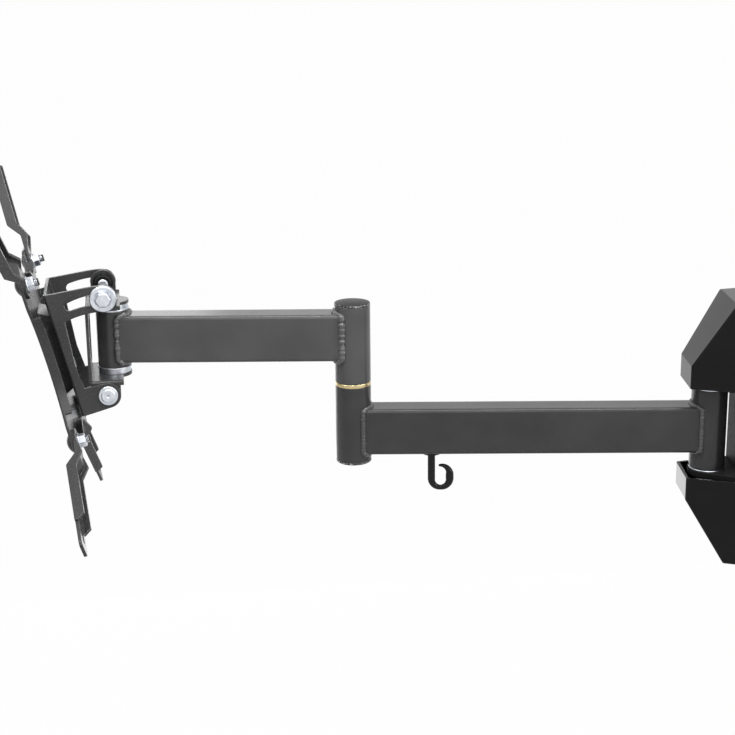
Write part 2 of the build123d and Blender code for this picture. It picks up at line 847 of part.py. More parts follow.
with BuildPart() as tilt_bracket:
    with BuildSketch(tilt_side.offset(-ear_outer)):
        SlotArc(lobe_line, tilt_lobe_width)
        with BuildLine():
            Polyline(
                (-tilt_web_ahead, tilt_web_top),
                lobe_touch_point,
                (0, slot_radius),
                (tilt_rail_top - tilt_web_ahead, slot_radius - tilt_lobe_width / 2),
                (tilt_rail_waist - tilt_web_ahead, tilt_rail_waist_height),
                (tilt_shoulder - tilt_web_ahead, tilt_shoulder_height),
                (0, 0),
                (-tilt_web_ahead, -tilt_web_bottom),
                close=True,
            )
        make_face()
        with BuildSketch(mode=Mode.PRIVATE) as pivot_lobe:
            Circle(yoke_lug_radius)
            with Locations((-tilt_web_ahead, -tilt_web_bottom)):
                Rectangle(
                    tilt_shoulder,
                    tilt_shoulder_height + tilt_web_bottom,
                    align=(Align.MIN, Align.MIN),
                )
            make_hull()
        add(pivot_lobe.sketch)
        with Locations((-tilt_web_ahead - tilt_lobe_width, slot_radius / 2)):
            Rectangle(2 * tilt_lobe_width, 3 * slot_radius, mode=Mode.SUBTRACT)
    extrude(amount=2 * ear_outer)
    with BuildSketch(tilt_side.offset(-ear_inner)):
        with Locations((tilt_sheet - tilt_web_ahead + slot_radius, slot_radius / 2)):
            Rectangle(2 * slot_radius, 3 * slot_radius)
    extrude(amount=2 * ear_inner, mode=Mode.SUBTRACT)
    web_folds = tilt_bracket.edges().filter_by(Axis(pivot_point, tilt_side.y_dir))
    web_folds = web_folds.filter_by(
        lambda edge: tilt_side.to_local_coords(edge.center()).X < 0.1 - tilt_web_ahead
    )
    fillet(web_folds, tilt_fold_radius)
    with BuildSketch(tilt_side.offset(-ear_outer)):
        SlotArc(slot_line, tilt_slot_width)
        Circle(pivot_rivet_radius + running_gap)
    extrude(amount=2 * ear_outer, mode=Mode.SUBTRACT)
    with BuildSketch(web_middle):
        with GridLocations(2 * dish_rivet_x, 2 * dish_rivet_z, 2, 2):
            Circle(dish_rivet_radius + thread_gap)
    extrude(amount=-tilt_sheet, mode=Mode.SUBTRACT)

tilt_bracket.part.label = "tilt_bracket"
export_step(tilt_bracket.part, "parts/tilt_bracket.step")

# Tilt fasteners: a lock bolt in each slot and a pivot rivet in each lower lobe
lug_inner = yoke_half_width - yoke_sheet
lock_bolt_seat = ear_outer + tilt_washer_thickness - tilt_washer_dish
lock_bolt_shape = hexagon_bolt(
    tilt_bolt_radius, tilt_bolt_hex, tilt_bolt_head, lock_bolt_seat - lug_inner + tilt_nut_height + 2
)
friction_washer_shape = ring(yoke_lug_radius - 1, tilt_bolt_radius + thread_gap, tilt_friction_washer)
lock_side = Plane(
    origin=yoke_side.from_local_coords((0, slot_radius, 0)), x_dir=yoke_side.x_dir, z_dir=yoke_side.z_dir
)

with BuildPart() as tilt_lock_bolts:
    with Locations(flipped(lock_side.offset(lock_bolt_seat))):
        add(lock_bolt_shape)
    mirror(about=head_middle)

tilt_lock_bolts.part.label = "tilt_lock_bolts"
export_step(tilt_lock_bolts.part, "parts/tilt_lock_bolts.step")

with BuildPart() as tilt_lock_washers:
    with BuildSketch(lock_side.offset(ear_outer)):
        Circle(tilt_washer_radius)
        Circle(tilt_bolt_radius + thread_gap, mode=Mode.SUBTRACT)
    extrude(amount=tilt_washer_thickness)
    outer_face = tilt_lock_washers.faces().sort_by(Axis(head.origin, head.x_dir))[-1]
    chamfer(outer_face.outer_wire().edges(), tilt_washer_dish)
    with BuildSketch(lock_side.offset(lock_bolt_seat)):
        Circle(tilt_washer_dish_radius)
    extrude(amount=tilt_washer_dish, mode=Mode.SUBTRACT)
    mirror(about=head_middle)

tilt_lock_washers.part.label = "tilt_lock_washers"
export_step(tilt_lock_washers.part, "parts/tilt_lock_washers.step")

with BuildPart() as tilt_lock_nuts:
    with BuildSketch(lock_side.offset(lug_inner)):
        Circle(tilt_nut_flange_radius)
    extrude(amount=-tilt_nut_flange_thickness)
    with BuildSketch(lock_side.offset(lug_inner - tilt_nut_flange_thickness)):
        Circle(tilt_nut_radius)
    extrude(amount=tilt_nut_flange_thickness - tilt_nut_height)
    with BuildSketch(lock_side.offset(lug_inner)):
        Circle(tilt_bolt_radius + thread_gap)
    extrude(amount=-tilt_nut_height, mode=Mode.SUBTRACT)
    mirror(about=head_middle)

tilt_lock_nuts.part.label = "tilt_lock_nuts"
export_step(tilt_lock_nuts.part, "parts/tilt_lock_nuts.step")

with BuildPart() as tilt_friction_washers:
    with Locations(yoke_side.offset(yoke_half_width), lock_side.offset(yoke_half_width)):
        add(friction_washer_shape)
    mirror(about=head_middle)

tilt_friction_washers.part.label = "tilt_friction_washers"
export_step(tilt_friction_washers.part, "parts/tilt_friction_washers.step")

rivet_top = ear_outer + pivot_rivet_head_height + pivot_rivet_step_height

with BuildPart() as tilt_pivot_rivets:
    with BuildSketch(yoke_side.offset(lug_inner - pivot_rivet_tail_height)):
        Circle(pivot_rivet_radius)
    extrude(amount=ear_outer - lug_inner + pivot_rivet_tail_height)
    with BuildSketch(yoke_side.offset(lug_inner)):
        Circle(pivot_rivet_tail_radius)
    extrude(amount=-pivot_rivet_tail_height)
    chamfer(tilt_pivot_rivets.faces().sort_by(Axis(head.origin, head.x_dir))[0].edges(), 0.6)
    with BuildSketch(yoke_side.offset(ear_outer)):
        Circle(pivot_rivet_head_radius)
    extrude(amount=pivot_rivet_head_height)
    chamfer(tilt_pivot_rivets.faces().sort_by(Axis(head.origin, head.x_dir))[-1].edges(), 0.6)
    with BuildSketch(yoke_side.offset(ear_outer)):
        Circle(pivot_rivet_step_radius)
    extrude(amount=pivot_rivet_head_height + pivot_rivet_step_height)
    chamfer(tilt_pivot_rivets.faces().sort_by(Axis(head.origin, head.x_dir))[-1].edges(), 0.4)
    with Locations(yoke_side.offset(rivet_top)):
        Cone(
            pivot_rivet_dimple_depth / 4,
            pivot_rivet_dimple_radius,
            2 * pivot_rivet_dimple_depth,
            mode=Mode.SUBTRACT,
        )
    mirror(about=head_middle)

tilt_pivot_rivets.part.label = "tilt_pivot_rivets"
export_step(tilt_pivot_rivets.part, "parts/tilt_pivot_rivets.step")

# Screen plate: a stamping with hollow sides, folded rims there, and a dish down to the web
side_hollow_x = screen_arm_x + screen_lobe_radius - screen_side_hollow + screen_side_hollow_radius
end_hollow_z = screen_arm_z + screen_lobe_radius - screen_end_hollow + screen_end_hollow_radius
dish_depth = screen_plate_depth - screen_sheet
dish_wall = screen_sheet / cos(radians(dish_draft)) - screen_sheet * tan(radians(dish_draft))
rim_middle = screen_sheet / 2
side_rim_angle = degrees(atan2(screen_side_rim, screen_side_hollow_radius))
end_rim_angle = degrees(atan2(screen_end_rim, screen_end_hollow_radius))
side_rim = CenterArc(
    (side_hollow_x, 0), screen_side_hollow_radius + rim_middle, 180 - side_rim_angle, 2 * side_rim_angle
)
end_rim = CenterArc(
    (0, end_hollow_z), screen_end_hollow_radius + rim_middle, 270 - end_rim_angle, 2 * end_rim_angle
)

with BuildPart() as screen_plate:
    with BuildSketch(screen_back):
        RectangleRounded(
            2 * (screen_arm_x + screen_lobe_radius),
            2 * (screen_arm_z + screen_lobe_radius),
            screen_lobe_radius,
        )
        with Locations((side_hollow_x, 0), (-side_hollow_x, 0)):
            Circle(screen_side_hollow_radius, mode=Mode.SUBTRACT)
        with Locations((0, end_hollow_z), (0, -end_hollow_z)):
            Circle(screen_end_hollow_radius, mode=Mode.SUBTRACT)
        hollow_corners = vertices().filter_by(
            lambda corner: abs(corner.X) < screen_arm_x - 1 or abs(corner.Y) < screen_arm_z - 1
        )
        fillet(hollow_corners, screen_hollow_corner)
    extrude(amount=screen_sheet)
    with BuildSketch(screen_back):
        SlotArc(side_rim, screen_sheet)
        SlotArc(end_rim, screen_sheet)
        mirror(about=Plane.YZ)
        mirror(about=Plane.XZ)
    extrude(amount=screen_sheet - screen_rim_depth)
    front_face = screen_plate.faces().sort_by(Axis(screen_front.origin, screen_front.z_dir))[-1]
    fillet(front_face.outer_wire().edges(), screen_edge_radius)
    with BuildSketch(web_middle):
        RectangleRounded(dish_width, dish_height, dish_corner)
    extrude(amount=dish_depth, taper=-dish_draft)
    with BuildSketch(web_middle.offset(screen_sheet)):
        RectangleRounded(dish_width - 2 * dish_wall, dish_height - 2 * dish_wall, dish_corner - dish_wall)
    extrude(amount=dish_depth, taper=-dish_draft, mode=Mode.SUBTRACT)
    with BuildSketch(web_middle):
        with GridLocations(2 * dish_rivet_x, 2 * dish_rivet_z, 2, 2):
            Circle(dish_rivet_radius + thread_gap)
        with GridLocations(vesa_75_spacing, vesa_75_spacing, 2, 2):
            Circle(vesa_hole_radius)
        with GridLocations(2 * screen_arm_x, 2 * screen_arm_z, 2, 2):
            Circle(arm_bolt_radius + thread_gap)
    extrude(amount=screen_plate_depth, mode=Mode.SUBTRACT)

screen_plate.part.label = "screen_plate"
export_step(screen_plate.part, "parts/screen_plate.step")

# Rivets that hold the dish against the web
dish_rivet_shape = domed_pin(
    dish_rivet_radius,
    screen_sheet + tilt_sheet + dish_rivet_tail_height,
    dish_rivet_head_radius,
    dish_rivet_head_height,
    dish_rivet_radius / 2,
)

with BuildPart() as dish_rivets:
    with BuildSketch(web_middle.offset(-tilt_sheet)):
        with GridLocations(2 * dish_rivet_x, 2 * dish_rivet_z, 2, 2):
            Circle(dish_rivet_tail_radius)
    extrude(amount=-dish_rivet_tail_height)
    with Locations(web_middle.offset(screen_sheet)):
        with GridLocations(2 * dish_rivet_x, 2 * dish_rivet_z, 2, 2):
            add(dish_rivet_shape)

dish_rivets.part.label = "dish_rivets"
export_step(dish_rivets.part, "parts/dish_rivets.step")

# Arm fasteners: round-headed bolts from the front, each with a washer and a nut behind its arm
arm_nut_depth = arm_sheet + arm_washer_thickness
arm_bolt_shape = domed_pin(
    arm_bolt_radius,
    screen_sheet + arm_nut_depth + arm_nut_height + arm_bolt_point,
    arm_bolt_dome_radius,
    arm_bolt_dome_height,
    arm_bolt_radius / 2,
)
arm_washer_shape = ring(arm_washer_radius, arm_bolt_radius + thread_gap, arm_washer_thickness)
arm_nut_shape = hexagon_nut(arm_bolt_radius, arm_nut_hex, arm_nut_height)

with BuildPart() as arm_bolts:
    with Locations(screen_front):
        with GridLocations(2 * screen_arm_x, 2 * screen_arm_z, 2, 2):
            add(arm_bolt_shape)

arm_bolts.part.label = "arm_bolts"
export_step(arm_bolts.part, "parts/arm_bolts.step")

with BuildPart() as arm_washers:
    with Locations(screen_back.offset(-arm_nut_depth)):
        with GridLocations(2 * screen_arm_x, 2 * screen_arm_z, 2, 2):
            add(arm_washer_shape)

arm_washers.part.label = "arm_washers"
export_step(arm_washers.part, "parts/arm_washers.step")

with BuildPart() as arm_nuts:
    with Locations(flipped(screen_back.offset(-arm_nut_depth))):
        with GridLocations(2 * screen_arm_x, 2 * screen_arm_z, 2, 2):
            add(arm_nut_shape)

arm_nuts.part.label = "arm_nuts"
export_step(arm_nuts.part, "parts/arm_nuts.step")

# One swinging arm along +Y from its bolt, its front face on the plane Z = 0 at the bolt
joggle_end = arm_joggle_start + arm_joggle_run
arm_flange_end = arm_length - arm_tip_length
arm_slot_end = arm_length - arm_slot_tip
joggle_step = arm_sheet * tan(atan2(arm_joggle, arm_joggle_run) / 2)
flange_edge = arm_joggle - arm_flange_depth

with BuildPart() as swing_arm:
    with BuildSketch(Plane.YZ):
        with BuildLine():
            Polyline(
                (-arm_width / 2, 0),
                (arm_joggle_start, 0),
                (joggle_end, arm_joggle),
                (arm_length, arm_joggle),
                (arm_length, arm_joggle - arm_sheet),
                (joggle_end + joggle_step, arm_joggle - arm_sheet),
                (arm_joggle_start + joggle_step, -arm_sheet),
                (-arm_width / 2, -arm_sheet),
                close=True,
            )
        make_face()
        bends = vertices().filter_by(lambda corner: 0 < corner.X < arm_length - 1)
        fillet(bends, arm_bend_radius)
    extrude(amount=arm_width / 2, both=True)
    for side in (1, -1):
        with BuildSketch(Plane.YZ.offset(side * arm_width / 2)):
            with BuildLine():
                Polyline(
                    (arm_flange_start, -arm_sheet / 2),
                    (arm_flange_start, -arm_sheet),
                    (arm_joggle_start, -arm_flange_depth + arm_sheet),
                    (joggle_end + joggle_step, flange_edge),
                    (arm_flange_end - arm_flange_slant, flange_edge),
                    (arm_flange_end, arm_joggle - arm_sheet),
                    (arm_flange_end, arm_joggle - arm_sheet / 2),
                    (joggle_end + joggle_step / 2, arm_joggle - arm_sheet / 2),
                    (arm_joggle_start + joggle_step / 2, -arm_sheet / 2),
                    close=True,
                )
            make_face()
        extrude(amount=-side * arm_sheet)
    with BuildSketch(Plane.XY.offset(-arm_length / 2)):
        Circle(arm_width / 2)
        with Locations((0, arm_flange_end / 2)):
            Rectangle(arm_width, arm_flange_end)
        with Locations((0, arm_length / 2)):
            RectangleRounded(arm_tip_width, arm_length, arm_tip_corner)
        Circle(arm_bolt_radius + running_gap, mode=Mode.SUBTRACT)
        with Locations((0, (arm_slot_start + arm_slot_end) / 2)):
            SlotOverall(arm_slot_end - arm_slot_start, arm_slot_width, rotation=90, mode=Mode.SUBTRACT)
    extrude(amount=arm_length, mode=Mode.INTERSECT)

near_top_bolt = Location((screen_arm_x, screen_arm_z, 0), (0, 0, -near_top_angle))
near_bottom_bolt = Location((screen_arm_x, -screen_arm_z, 0), (0, 0, near_bottom_angle - 180))
far_top_bolt = Location((-screen_arm_x, screen_arm_z, 0), (0, 0, far_top_angle))
far_bottom_bolt = Location((-screen_arm_x, -screen_arm_z, 0), (0, 0, 180 - far_bottom_angle))

with BuildPart() as arm_near_top:
    with Locations(screen_back.location * near_top_bolt):
        add(swing_arm.part)

arm_near_top.part.label = "arm_near_top"
export_step(arm_near_top.part, "parts/arm_near_top.step")

with BuildPart() as arm_near_bottom:
    with Locations(screen_back.location * near_bottom_bolt):
        add(swing_arm.part)

arm_near_bottom.part.label = "arm_near_bottom"
export_step(arm_near_bottom.part, "parts/arm_near_bottom.step")

with BuildPart() as arm_far_top:
    with Locations(screen_back.location * far_top_bolt):
        add(swing_arm.part)

arm_far_top.part.label = "arm_far_top"
export_step(arm_far_top.part, "parts/arm_far_top.step")

with BuildPart() as arm_far_bottom:
    with Locations(screen_back.location * far_bottom_bolt):
        add(swing_arm.part)

arm_far_bottom.part.label = "arm_far_bottom"
export_step(arm_far_bottom.part, "parts/arm_far_bottom.step")
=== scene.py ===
from math import cos, pi, radians, sin, sqrt

import bpy
from mathutils import Matrix, Vector


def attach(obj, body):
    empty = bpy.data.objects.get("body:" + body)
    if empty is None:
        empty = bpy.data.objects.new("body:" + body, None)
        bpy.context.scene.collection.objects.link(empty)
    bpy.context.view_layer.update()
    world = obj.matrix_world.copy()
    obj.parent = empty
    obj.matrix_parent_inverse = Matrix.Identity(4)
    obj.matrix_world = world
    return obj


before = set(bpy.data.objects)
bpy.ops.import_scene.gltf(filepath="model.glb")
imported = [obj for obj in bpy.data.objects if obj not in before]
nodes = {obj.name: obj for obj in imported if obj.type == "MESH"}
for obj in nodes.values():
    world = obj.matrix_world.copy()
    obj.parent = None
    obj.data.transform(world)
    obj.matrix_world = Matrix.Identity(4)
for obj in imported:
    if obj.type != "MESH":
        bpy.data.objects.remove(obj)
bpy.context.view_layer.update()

# Sizes that the dressing repeats from the frame, in metres and radians
wall_axis_y = -0.027
elbow_axis_y = -0.327
head_axis_y = -0.527
outer_arm_z = 0.082
post_radius = 0.015
head_post_radius = 0.0135
bar_width = 0.025
bar_height = 0.040
bar_corner = 0.003
head_swivel = radians(11.0)
head_tilt = radians(13.8)
pivot_ahead = 0.0065
lug_half_spacing = 0.0408
web_ahead = 0.0252
web_middle_up = 0.0420
plate_depth = 0.0125
plate_sheet = 0.0025
yoke_half_width = 0.0305
ear_sheet = 0.0025
arm_bolt_x = 0.047
arm_bolt_z = 0.068
arm_bolt_radius = 0.003
arm_nut_end = 0.0087
arm_bolt_point = 0.0035
lock_bolt_radius = 0.004
lock_nut_height = 0.008
lock_bolt_point = 0.002

# Camera: it stands beside the elbow and above it, and looks a little downwards
frame_pixels = 735


def look(position, focal_pixels, pitch, yaw, roll, shift_pixels):
    """A camera whose back points along yaw from +X, with its frame moved up by shift_pixels."""
    back = Vector((cos(pitch) * cos(yaw), cos(pitch) * sin(yaw), sin(pitch)))
    level = Vector((-sin(yaw), cos(yaw), 0))
    upright = back.cross(level)
    right = level * cos(roll) + upright * sin(roll)
    up = upright * cos(roll) - level * sin(roll)
    data = bpy.data.cameras.new("camera")
    data.sensor_width = 36
    data.lens = focal_pixels * data.sensor_width / frame_pixels
    data.shift_y = shift_pixels / frame_pixels
    data.clip_start = 0.01
    data.clip_end = 200
    camera = bpy.data.objects.new("camera", data)
    turned = Matrix((right, up, back)).transposed().to_4x4()
    camera.matrix_world = Matrix.Translation(position) @ turned
    bpy.context.collection.objects.link(camera)
    bpy.context.scene.camera = camera


look(
    position=Vector((1.1174, -0.3005, 0.3818)),
    focal_pixels=1385.6,
    pitch=radians(13.64),
    yaw=radians(0.70),
    roll=radians(-0.58),
    shift_pixels=-66,
)


# Shader building
class Tree:
    """Short calls for adding and joining the nodes of one node tree."""

    # A colour Mix node's factor, its two colours and its result, by socket number
    mix_factor, mix_first, mix_second, mix_result = 0, 6, 7, 2

    def __init__(self, tree):
        self.tree = tree

    def add(self, kind, **settings):
        node = self.tree.nodes.new(kind)
        for name, value in settings.items():
            setattr(node, name, value)
        return node

    def join(self, source, target):
        self.tree.links.new(source, target)

    def feed(self, value, target):
        """Set a socket to a number, or join another node's output to it."""
        if isinstance(value, (int, float)):
            target.default_value = value
        else:
            self.join(value, target)

    def object_point(self):
        return self.add("ShaderNodeTexCoord").outputs["Object"]

    def noise(self, scale, detail=3.0, roughness=0.55, vector=None):
        node = self.add("ShaderNodeTexNoise")
        node.inputs["Detail"].default_value = detail
        node.inputs["Roughness"].default_value = roughness
        self.join(vector or self.object_point(), node.inputs["Vector"])
        self.feed(scale, node.inputs["Scale"])
        return node.outputs["Fac"]

    def maths(self, operation, first, second=None, clamp=False):
        node = self.add("ShaderNodeMath", operation=operation, use_clamp=clamp)
        self.feed(first, node.inputs[0])
        if second is not None:
            self.feed(second, node.inputs[1])
        return node.outputs[0]

    def shares(self, first, first_share, second, second_share):
        """Two values added up by their shares."""
        return self.maths(
            "ADD",
            self.maths("MULTIPLY", first, first_share),
            self.maths("MULTIPLY", second, second_share),
        )

    def spread(self, value, low, high, to_low, to_high):
        """Stretch the range from low to high over the range from to_low to to_high."""
        node = self.add("ShaderNodeMapRange")
        self.feed(value, node.inputs["Value"])
        node.inputs["From Min"].default_value = low
        node.inputs["From Max"].default_value = high
        node.inputs["To Min"].default_value = to_low
        node.inputs["To Max"].default_value = to_high
        return node.outputs["Result"]

    def seen_rays(self):
        """1 for the rays that show a surface: straight, in a reflection or through glass."""
        path = self.add("ShaderNodeLightPath").outputs
        mirrored = self.maths("MAXIMUM", path["Is Glossy Ray"], path["Is Transmission Ray"])
        return self.maths("MAXIMUM", path["Is Camera Ray"], mirrored)

    def blend(self, factor, first, second):
        """Mix two colours, each a tuple or another node's output."""
        node = self.add("ShaderNodeMix", data_type="RGBA")
        self.feed(factor, node.inputs[self.mix_factor])
        for value, number in ((first, self.mix_first), (second, self.mix_second)):
            target = node.inputs[number]
            if isinstance(value, tuple):
                target.default_value = (*value, 1)
            else:
                self.join(value, target)
        return node.outputs[self.mix_result]


def shader_group(name, inputs, outputs):
    """An empty shader group, with its named inputs and outputs made."""
    tree = bpy.data.node_groups.new(name, "ShaderNodeTree")
    for label, default in inputs:
        socket = tree.interface.new_socket(label, in_out="INPUT", socket_type="NodeSocketFloat")
        socket.default_value = default
    for label in outputs:
        kind = "NodeSocketVector" if label == "Normal" else "NodeSocketFloat"
        tree.interface.new_socket(label, in_out="OUTPUT", socket_type=kind)
    made = Tree(tree)
    return made, made.add("NodeGroupInput").outputs, made.add("NodeGroupOutput").inputs


# Edge: 1 on the outside corners of a piece and 0 on its flats, broken up in patches
# The lighter edge colour painted there is partly wear and partly a painted highlight
edge_width = 0.001
edge_breakup = 260.0
edge_group, given, result = shader_group(
    "Worn and Highlit Edge", (("Width", edge_width), ("Breakup", edge_breakup)), ("Edge", "Normal")
)
bevel = edge_group.add("ShaderNodeBevel", samples=10)
edge_group.join(given["Width"], bevel.inputs["Radius"])
edge_group.join(bevel.outputs[0], result["Normal"])
turn = edge_group.add("ShaderNodeVectorMath", operation="DOT_PRODUCT")
edge_group.join(bevel.outputs[0], turn.inputs[0])
edge_group.join(edge_group.add("ShaderNodeNewGeometry").outputs["Normal"], turn.inputs[1])
corner = edge_group.spread(turn.outputs["Value"], 0.96, 0.76, 0.0, 1.0)
patches = edge_group.spread(edge_group.noise(given["Breakup"], 4.0, 0.7), 0.38, 0.62, 0.25, 1.0)
edge_group.join(edge_group.maths("MULTIPLY", corner, patches, clamp=True), result["Edge"])

# Coat: the fine peel and coarser pits of a baked powder coat, and the slow drift of its tone
pit_scale = 0.33
coat_group, given, result = shader_group(
    "Powder Coat", (("Peel", 1500.0), ("Drift", 28.0)), ("Height", "Tone", "Gloss")
)
peel = coat_group.noise(given["Peel"], 2.0, 0.5)
pits = coat_group.noise(coat_group.maths("MULTIPLY", given["Peel"], pit_scale), 4.0, 0.6)
coat_group.join(coat_group.shares(peel, 0.55, pits, 0.45), result["Height"])
drift = coat_group.noise(given["Drift"], 2.0, 0.45)
coat_group.join(coat_group.spread(drift, 0.30, 0.70, 0.0, 1.0), result["Tone"])
coat_group.join(coat_group.spread(pits, 0.30, 0.70, 0.0, 1.0), result["Gloss"])

# Plating: the cloudy bloom and fine upright scratches of zinc plate and of turned metal
scratch_stretch = (1.0, 1.0, 0.08)
plating_group, given, result = shader_group(
    "Plating", (("Bloom", 160.0), ("Scratch", 2600.0)), ("Height", "Tone", "Gloss")
)
bloom = plating_group.noise(given["Bloom"], 5.0, 0.65)
stretch = plating_group.add("ShaderNodeMapping")
stretch.inputs["Scale"].default_value = scratch_stretch
plating_group.join(plating_group.object_point(), stretch.inputs["Vector"])
scratch = plating_group.noise(given["Scratch"], 2.0, 0.5, stretch.outputs[0])
plating_group.join(scratch, result["Height"])
plating_group.join(plating_group.spread(bloom, 0.3, 0.7, 0.0, 1.0), result["Tone"])
plating_group.join(plating_group.shares(scratch, 0.5, bloom, 0.5), result["Gloss"])


def grey(value):
    return (value, value, value)


def finish_material(
    name,
    group,
    low,
    high,
    edge,
    edge_amount,
    roughness,
    bump,
    width=edge_width,
    breakup=edge_breakup,
    specular=0.5,
    metallic=0.0,
):
    """A finish whose colour drifts from low to high, with a lighter edge of wear and painted
    highlight.

    Roughness is a range, and bump is a strength and a height in metres.
    """
    material = bpy.data.materials.new(name)
    material.use_nodes = True
    tree = Tree(material.node_tree)
    shader = material.node_tree.nodes["Principled BSDF"]
    texture = tree.add("ShaderNodeGroup", node_tree=group.tree)
    for socket in texture.inputs:
        socket.default_value = group.tree.interface.items_tree[socket.name].default_value
    wear_and_highlight = tree.add("ShaderNodeGroup", node_tree=edge_group.tree)
    wear_and_highlight.inputs["Width"].default_value = width
    wear_and_highlight.inputs["Breakup"].default_value = breakup
    tone = tree.blend(texture.outputs["Tone"], low, high)
    # The edge colour on the corners is partly wear and partly a painted highlight
    worn_and_highlit = tree.maths("MULTIPLY", wear_and_highlight.outputs["Edge"], edge_amount)
    tree.join(tree.blend(worn_and_highlit, tone, edge), shader.inputs["Base Color"])
    smooth, rough = roughness
    tree.join(
        tree.spread(texture.outputs["Gloss"], 0.0, 1.0, smooth, rough), shader.inputs["Roughness"]
    )
    height = tree.add("ShaderNodeBump")
    height.inputs["Strength"].default_value, height.inputs["Distance"].default_value = bump
    tree.join(texture.outputs["Height"], height.inputs["Height"])
    tree.join(wear_and_highlight.outputs["Normal"], height.inputs["Normal"])
    tree.join(height.outputs[0], shader.inputs["Normal"])
    shader.inputs["Specular IOR Level"].default_value = specular
    shader.inputs["Metallic"].default_value = metallic
    return material


def paint_cap_side_highlights(material, color, amount):
    """Painted highlight flecks on a cap's upright sides, standing for the bright reflections on
    its skirt.
    """
    tree = Tree(material.node_tree)
    target = material.node_tree.nodes["Principled BSDF"].inputs["Base Color"]
    plain = target.links[0].from_socket
    facing = tree.add("ShaderNodeSeparateXYZ")
    tree.join(tree.add("ShaderNodeTexCoord").outputs["Normal"], facing.inputs[0])
    side = tree.spread(tree.maths("ABSOLUTE", facing.outputs["Z"]), 0.55, 0.95, 1.0, 0.0)
    highlight_flecks = tree.spread(tree.noise(520.0, 4.0, 0.75), 0.46, 0.60, 0.0, amount)
    tree.join(tree.blend(tree.maths("MULTIPLY", side, highlight_flecks), plain, color), target)


# Finishes: the two arms share one coat in two tones, and the head's sheets another
# The arms' and head sheets' lighter edge colours are partly wear and partly a painted highlight on
# their corners
arm_gloss = {
    "edge_amount": 0.5, "roughness": (0.19, 0.25), "bump": (0.05, 0.00005), "specular": 0.30
}
sheet_gloss = {
    "edge_amount": 0.8, "roughness": (0.22, 0.30), "bump": (0.06, 0.00005), "specular": 0.30,
    "width": 0.0008,
}
outer_arm_coat = finish_material(
    "outer_arm_coat", coat_group, low=(0.076, 0.076, 0.077), high=(0.098, 0.098, 0.099),
    edge=grey(0.24), **arm_gloss,
)
inner_arm_coat = finish_material(
    "inner_arm_coat", coat_group, low=(0.037, 0.037, 0.038), high=(0.050, 0.050, 0.051),
    edge=grey(0.20), **arm_gloss,
)
head_coat = finish_material(
    "head_coat", coat_group, low=(0.046, 0.046, 0.047), high=(0.062, 0.062, 0.063),
    edge=grey(0.30), **sheet_gloss,
)
plate_coat = finish_material(
    "plate_coat", coat_group, low=(0.042, 0.042, 0.043), high=(0.062, 0.062, 0.063),
    edge=grey(0.32), **sheet_gloss,
)
bracket_coat = finish_material(
    "bracket_coat", coat_group, low=grey(0.008), high=grey(0.014), edge=grey(0.05),
    edge_amount=0.4, roughness=(0.55, 0.70), bump=(0.3, 0.0002), specular=0.12,
)
# The covers' lighter edge colour is a painted highlight along their rounded edges
cover_plastic = finish_material(
    "cover_plastic", coat_group, low=grey(0.004), high=grey(0.007), edge=grey(0.10),
    edge_amount=0.5, width=0.0007, roughness=(0.08, 0.14), bump=(0.02, 0.0001), specular=0.15,
)
cap_plastic = finish_material(
    "cap_plastic", coat_group, low=grey(0.008), high=grey(0.014), edge=grey(0.10),
    edge_amount=0.6, roughness=(0.34, 0.46), bump=(0.12, 0.0001), specular=0.15,
)
# The elbow caps' bright edge colour is a painted highlight on their rims
post_cap_plastic = finish_material(
    "post_cap_plastic", coat_group, low=grey(0.008), high=grey(0.014), edge=grey(0.40),
    edge_amount=0.8, breakup=420.0, roughness=(0.30, 0.42), bump=(0.12, 0.0001), specular=0.15,
)
# Painted highlight flecks on the elbow caps' upright sides
paint_cap_side_highlights(post_cap_plastic, grey(0.55), 0.9)
bush_plastic = finish_material(
    "bush_plastic", coat_group, low=grey(0.020), high=grey(0.030), edge=grey(0.06),
    edge_amount=0.3, roughness=(0.40, 0.55), bump=(0.1, 0.0001),
)
hook_coat = finish_material(
    "hook_coat", coat_group, low=grey(0.008), high=grey(0.014), edge=grey(0.06),
    edge_amount=0.3, roughness=(0.22, 0.34), bump=(0.15, 0.0001), specular=0.20,
)
zinc = finish_material(
    "zinc", plating_group, low=(0.48, 0.51, 0.56), high=(0.72, 0.74, 0.78),
    edge=(0.88, 0.89, 0.91), edge_amount=0.5, roughness=(0.28, 0.46), bump=(0.12, 0.00005),
    metallic=1.0,
)
brass = finish_material(
    "brass", plating_group, low=(0.54, 0.43, 0.21), high=(0.68, 0.57, 0.33),
    edge=(0.80, 0.72, 0.50), edge_amount=0.5, roughness=(0.20, 0.34), bump=(0.15, 0.00005),
    metallic=1.0,
)
# The weld coats are lighter than their arms' coats: a painted highlight on the beads
outer_weld_coat = finish_material(
    "outer_weld_coat", coat_group, low=(0.085, 0.085, 0.086), high=(0.120, 0.120, 0.121),
    edge=grey(0.26), edge_amount=0.6, roughness=(0.25, 0.36), bump=(0.4, 0.0002),
)
inner_weld_coat = finish_material(
    "inner_weld_coat", coat_group, low=(0.055, 0.055, 0.056), high=(0.080, 0.080, 0.081),
    edge=grey(0.20), edge_amount=0.5, roughness=(0.25, 0.36), bump=(0.4, 0.0002),
)

